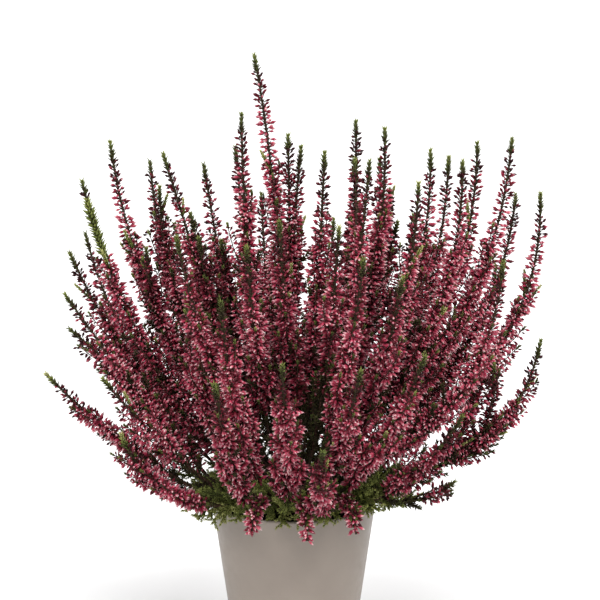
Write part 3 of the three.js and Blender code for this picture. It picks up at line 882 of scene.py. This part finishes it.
class Buds:
    """The buds of one shoot, gathered until they are strewn together."""

    def __init__(self, node, length, draw, shade, leafy_run, green_stretch):
        self.length, self.draw, self.shade = length, draw, shade
        self.leafy_run, self.green_stretch = leafy_run, green_stretch
        self.pull, self.free = light_along(node)
        self.buds = []

    def see(self, distance, out):
        """How much light reaches a place along the shoot from the side that it faces."""
        at = min(int(distance / self.length * len(self.free)), len(self.free) - 1)
        pull = self.pull[at]
        from_side = 1.25 * (np.linalg.norm(pull) + 0.6 * pull @ out)
        return float(np.clip(self.free[at] + LEAST_LIGHT + from_side, LEAST_LIGHT, 1))

    def set(self, root, way, length, light, distance, opening):
        """Takes in a bud where one grows: fewer in the shade, and none where leaves grow alone."""
        if self.draw.random() > BUD_CHANCE + LIT_CHANCE * light:
            return
        if distance < self.leafy_run * self.draw.uniform(0.7, 1.1):
            return
        if self.green_stretch[0] < distance < self.green_stretch[1]:
            return
        below = self.length - distance
        young = max(0.0, 1 - below / YOUNG_RUN) if self.length > SHORT_SHOOT else 0.0
        paler = GROWN_PALER * opening - TIP_DARKER
        # painted light and shade: paler where the bud gets light, darker where neighbours shade it
        paler += PAINTED_LIGHT_PALER * (light - DIM_LIGHT) - YOUNG_DARKER * young
        way = way + self.draw.normal(0, 0.12, 3)
        length = length * self.draw.uniform(0.72, 1.12)
        shade = self.shade + paler + self.draw.normal(0, 0.22)
        self.buds.append((root, way / np.linalg.norm(way), length, shade, light, below))

    def strew_on(self, growth):
        """Sets whole buds near the tip in the light, plainer ones elsewhere, ones painted dark as shade
        in the thick.
        """
        roots, ways, lengths, shades, light, below = (np.array(values) for values in zip(*self.buds))
        widths = BUD_WIDTH * (lengths / BUD_LENGTH) ** 0.6
        dark = light < DEEP_SHADE
        whole = (light > DIM_LIGHT) & (below < FULL_BUDS_RUN)
        plain = (light > FULL_LIGHT) & ~whole
        sorts = [
            (bud_template, whole, 1, 1),
            (plain_template, plain, 1, 1),
            (inner_template, ~whole & ~plain & ~dark, 1, 1),
            # painted shade: buds in the thick get a darker tone
            (inner_template, dark, PAINTED_SHADE_TONE, SHADED_GIRTH),
        ]
        for template, chosen, tone, girth in sorts:
            if chosen.any():
                sizes = lengths[chosen], girth * widths[chosen]
                tones = np.clip(tone * shades[chosen], 0, 0.999)
                strew(growth, template, roots[chosen], ways[chosen], *sizes, tones, BUD)


def set_whorls(axis, buds, draw, span, size, opening_run):
    """Whorls of buds up a stem, wider apart, smaller and more upright towards its tip."""
    distance, end = span
    first_turn = draw.uniform(0, 6)
    while distance < end:
        opening = min(1.0, (axis.length - distance) / opening_run)
        place, way, side, over = axis.at(distance)
        count = draw.integers(*WHORL_BUDS) + round(2 * (1 - opening))
        for k in range(count):
            turn = first_turn + 2 * math.pi * k / count + draw.normal(0, 0.2)
            out = swung(side, over, turn)
            lean = math.radians(between(BUD_LEAN_TIP, BUD_LEAN_LOW, opening) + draw.normal(0, 12))
            aim = swung(way, out, lean) - HANG * opening
            root = place + out * 0.4 * MM + way * draw.normal(0, 1.4) * MM
            light = buds.see(axis.start + distance, 0.4 * out + 0.6 * axis.outside)
            length = size * (0.6 + 0.4 * opening)
            buds.set(root, aim, length, light, axis.start + distance, opening)
        first_turn += 0.8
        distance += between(WHORL_STEP_HIGH, WHORL_STEP_LOW, opening) * draw.uniform(0.88, 1.12)


def side_axis(axis, k, share, draw, lengths, leans):
    """The line of a side shoot, which leaves the stem at a lean and then rises beside it."""
    distance = axis.length * between(*SIDE_SHOOT_SPAN, share)
    length = draw.uniform(*lengths) * (1 - SIDE_SHORTER * share)
    length = min(length, 0.94 * (axis.length - distance) + 2 * MM)
    turn = SPIRAL * k + draw.normal(0, 0.3)
    place, way, side, over = axis.at(distance)
    rise = SIDE_RISE * (1 - abs(way[2])) ** 2
    out = SIDE_SHOOT_WIDE * math.cos(turn) * side + math.sin(turn) * over + rise
    out = unit(out - (out @ way) * way)
    aim = swung(way, out, math.radians(draw.uniform(*leans)))
    bend = place + aim * length * 0.35
    tip = place + aim * length * 0.42 + way * length * 0.56
    return Axis([place, bend, tip], distance, out)


def set_side_shoots(growth, axis, buds, draw, sort, count):
    """Flowering side shoots close to the main one, each in whorls up to a small green tip."""
    lengths, leans, size = sort
    for k in range(count):
        branch = side_axis(axis, k, (k + draw.random()) / count, draw, lengths, leans)
        radii = np.linspace(SIDE_STEM_ROOT, SIDE_STEM_TIP, 6)
        add_stem(growth, branch.part(0, branch.length - 1 * MM, 6), radii, 3, 0.2)
        leafy = min(buds.leafy_run - branch.start, 0.8 * branch.length)
        if leafy > 8 * MM:
            clothe(growth, branch.part(0, leafy, 12), draw, 0.1, 2.0 * MM, rows=2, lean=0.8)
        span = (3.5 * MM, branch.length - 3 * MM)
        set_whorls(branch, buds, draw, span, size, SIDE_OPENING_RUN)
        tip = branch.part(branch.length - 4 * MM, branch.length, 4)
        clothe(growth, tip, draw, draw.uniform(-0.05, 0.3), 1.2 * MM)


def set_inner_sprigs(growth, axis, draw):
    """Leafy sprigs on the lower part of a shoot, where it stands among the others, painted near black as
    shade.
    """
    run = min(INNER_SPRIG_RUN, 0.5 * axis.length)
    for k in range(int(run / INNER_SPRIG_STEP)):
        place, way, side, over = axis.at((k + draw.random()) * INNER_SPRIG_STEP)
        out = swung(side, over, SPIRAL * k + draw.normal(0, 0.4))
        aim = unit(way + draw.uniform(0.6, 1.0) * out)
        path = straight(place, aim, draw.uniform(12, 20) * MM, 0.1)
        # painted shade: these sprigs' leaves are coloured near black
        clothe(growth, path, draw, draw.uniform(-0.25, 0.0), 2.0 * MM, leaf=4.4 * MM, lean=0.8)


def set_green_shoots(growth, axis, draw):
    """Now and then a green side shoot that grows up along the flowers."""
    for _ in range(draw.integers(0, 3)):
        place, way, side, over = axis.at(axis.length * draw.uniform(0.25, 0.8))
        out = swung(side, over, draw.uniform(0, 2 * math.pi))
        path = straight(place, unit(way + 0.42 * out), draw.uniform(12, 22) * MM)
        clothe(growth, path, draw, draw.uniform(0.25, 0.5), 1.1 * MM, fresh=0.35)


def set_head(growth, axis, buds, draw):
    """A short head near the rim: two sets of whorls in one another, and side shoots."""
    for first in (2 * MM, 4 * MM):
        span = (first, axis.length - 4 * MM)
        set_whorls(axis, buds, draw, span, HEAD_BUD_LENGTH, HEAD_OPENING_RUN)
    set_side_shoots(growth, axis, buds, draw, HEAD_SIDE_SHOOTS, HEAD_SIDE_COUNT)


def set_spike(growth, axis, buds, draw, side_count, leaves_from, yellow):
    """A long flowering shoot with its side shoots, dark leaves up its stem and a green leafy tip."""
    tip_start = axis.length - draw.uniform(10, 15) * MM
    set_whorls(axis, buds, draw, (4 * MM, tip_start), BUD_LENGTH, OPENING_RUN)
    set_side_shoots(growth, axis, buds, draw, SIDE_SHOOTS, side_count)
    fresh = draw.uniform(0.08, 0.32)
    stem, tip = axis.part(leaves_from, tip_start, 60), axis.part(tip_start, axis.length, 9)
    clothe(growth, stem, draw, 0.0, 2.5 * MM, leaf=4.0 * MM, lean=0.85)
    shade = draw.uniform(0.0, 0.12)
    clothe(growth, tip, draw, shade, 1.5 * MM, leaf=4.6 * MM, rows=4, lean=0.85, fresh=yellow or fresh)
    set_inner_sprigs(growth, axis, draw)
    set_green_shoots(growth, axis, draw)


old_lines = {node: bezier(list(shoot_axes[node]), np.linspace(0, 0.95, 34)) for node in shoot_nodes}
young_sides = {}
for k, (parent, share, tip, side_count) in enumerate(YOUNG_SHOOTS):
    axis = Axis(shoot_axes["flower_spike_" + parent])
    base, way, _, _ = axis.at(share * axis.length)
    tip = np.array(tip) * MM
    name = f"young_shoot_{k + 1}"
    shoot_axes[name] = base, base + 0.5 * np.linalg.norm(tip - base) * way, tip
    young_sides[name] = side_count
shoot_nodes += list(young_sides)
neighbours_of = {}
for node in shoot_nodes:
    others = [line for other, line in old_lines.items() if other != node]
    neighbours_of[node] = np.concatenate(others)
bud_finish = bud_skin()
bud_template = closed_bud(BUD_RINGS, 4)
plain_template = closed_bud(INNER_BUD_RINGS, 4)
inner_template = closed_bud(INNER_BUD_RINGS, 3)
for number, node in enumerate(shoot_nodes):
    draw = np.random.default_rng(SHOOT_SEED + number)
    axis = Axis(shoot_axes[node])
    shoot = Growth()
    path = axis.part(0, axis.length - 1 * MM, max(8, int(axis.length / (8 * MM))))
    shares = np.linspace(0, 1, len(path))
    add_stem(shoot, path, between(SHOOT_STEM_ROOT, SHOOT_STEM_TIP, shares), STEM_SIDES, 0.3)
    label = node[-2:]
    leafy_run = LEAFY_RUNS.get(label, 0) * MM
    if math.hypot(*shoot_axes[node][0][:2]) < INNER_SPREAD:
        leafy_run = max(leafy_run, INNER_LEAFY_RUN)
    green_stretch = [axis.length - below * MM for below in GREEN_STRETCHES.get(label, (0, 0))]
    buds = Buds(node, axis.length, draw, draw.uniform(0.44, 0.64), leafy_run, green_stretch)
    if label in GREEN_STRETCHES:
        green = axis.part(*green_stretch, 16)
        clothe(shoot, green, draw, 0.43, 2.0 * MM, leaf=6.4 * MM, rows=5, lean=0.95)
    if axis.length < SHORT_SHOOT:
        set_head(shoot, axis, buds, draw)
    else:
        side_count = young_sides.get(node, int(axis.length / SIDE_SHOOT_STEP))
        leaves_from = 0 if label in LEAFY_RUNS else 0.35 * axis.length
        set_spike(shoot, axis, buds, draw, side_count, leaves_from, YELLOW_TIPS.get(label))
    buds.strew_on(shoot)
    finishes = [bark_finish, leaf_finish, bud_finish]
    flowering_shoot = shoot.piece(node.replace("flower_spike", "flowering_shoot"), finishes)
    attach(flowering_shoot, "root")
    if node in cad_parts:
        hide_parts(node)


# ==== The studio ====
# A pale floor that runs out to white, three big soft lights high in front and on either side, and
# a long lens that looks a little down on the plant.

FLOOR_HALF = 40.0
FLOOR_TONES = (0.75, 0.77)
ROOM_LIGHT = 0.6  # the room as a light, while the lens sees it plain white
LAMPS = [  # name, strength, and the way that it stands from the plant
    ("front_light", 2.4, (0.25, -2.0, 2.7)),
    ("left_light", 2.2, (-2.2, -1.2, 1.9)),
    ("right_light", 2.4, (2.2, -1.1, 1.9)),
]
LAMP_SIZE = math.radians(35)
AIM = np.array((0.0043, 0.0, 0.251))
LENS = 152
LENS_FILM = 36
CAMERA_FAR = 1.8
CAMERA_RISE = math.radians(10)


def pale_floor():
    """Matt pale floor, with a trace of unevenness in its tone."""
    material, tree, shader = new_finish("pale_floor", 0.9, specular=0.1)
    darker, paler = FLOOR_TONES
    colour = ramp_on(tree, noise_on(tree, 3), [(0.3, grey(darker)), (0.7, grey(paler))])
    tree.links.new(colour, shader.inputs["Base Color"])
    return material


corners = np.array([(-1, -1, 0), (1, -1, 0), (1, 1, 0), (-1, 1, 0)]) * FLOOR_HALF
floor = mesh_piece("floor", corners, np.array([(0, 1, 2), (0, 2, 3)]), [pale_floor()])

room = bpy.data.worlds.new("white_room")
room.use_nodes = True
tree = room.node_tree
fill = tree.nodes["Background"]
wall = tree.nodes.new("ShaderNodeBackground")
for background, strength in ((fill, ROOM_LIGHT), (wall, 1.0)):
    background.inputs["Color"].default_value = grey(1)
    background.inputs["Strength"].default_value = strength
ray = tree.nodes.new("ShaderNodeLightPath")
seen = tree.nodes.new("ShaderNodeMixShader")
tree.links.new(ray.outputs["Is Camera Ray"], seen.inputs["Fac"])
tree.links.new(fill.outputs["Background"], seen.inputs[1])
tree.links.new(wall.outputs["Background"], seen.inputs[2])
tree.links.new(seen.outputs["Shader"], tree.nodes["World Output"].inputs["Surface"])
bpy.context.scene.world = room


def aimed(thing, place):
    """Puts a lamp or the camera at a place, looking at the plant."""
    thing.location = place
    way = unit(AIM - place)
    thing.rotation_euler = (math.acos(-way[2]), 0, math.atan2(-way[0], way[1]))
    bpy.context.scene.collection.objects.link(thing)
    return thing


for name, strength, way in LAMPS:
    lamp = bpy.data.lights.new(name, "SUN")
    lamp.energy = strength
    lamp.angle = LAMP_SIZE
    aimed(bpy.data.objects.new(name, lamp), AIM + way)

lens = bpy.data.cameras.new("camera")
lens.lens = LENS
lens.sensor_width = LENS_FILM
place = AIM + CAMERA_FAR * np.array((0, -math.cos(CAMERA_RISE), math.sin(CAMERA_RISE)))
bpy.context.scene.camera = aimed(bpy.data.objects.new("camera", lens), place)
bpy.context.scene.view_settings.view_transform = "Standard"
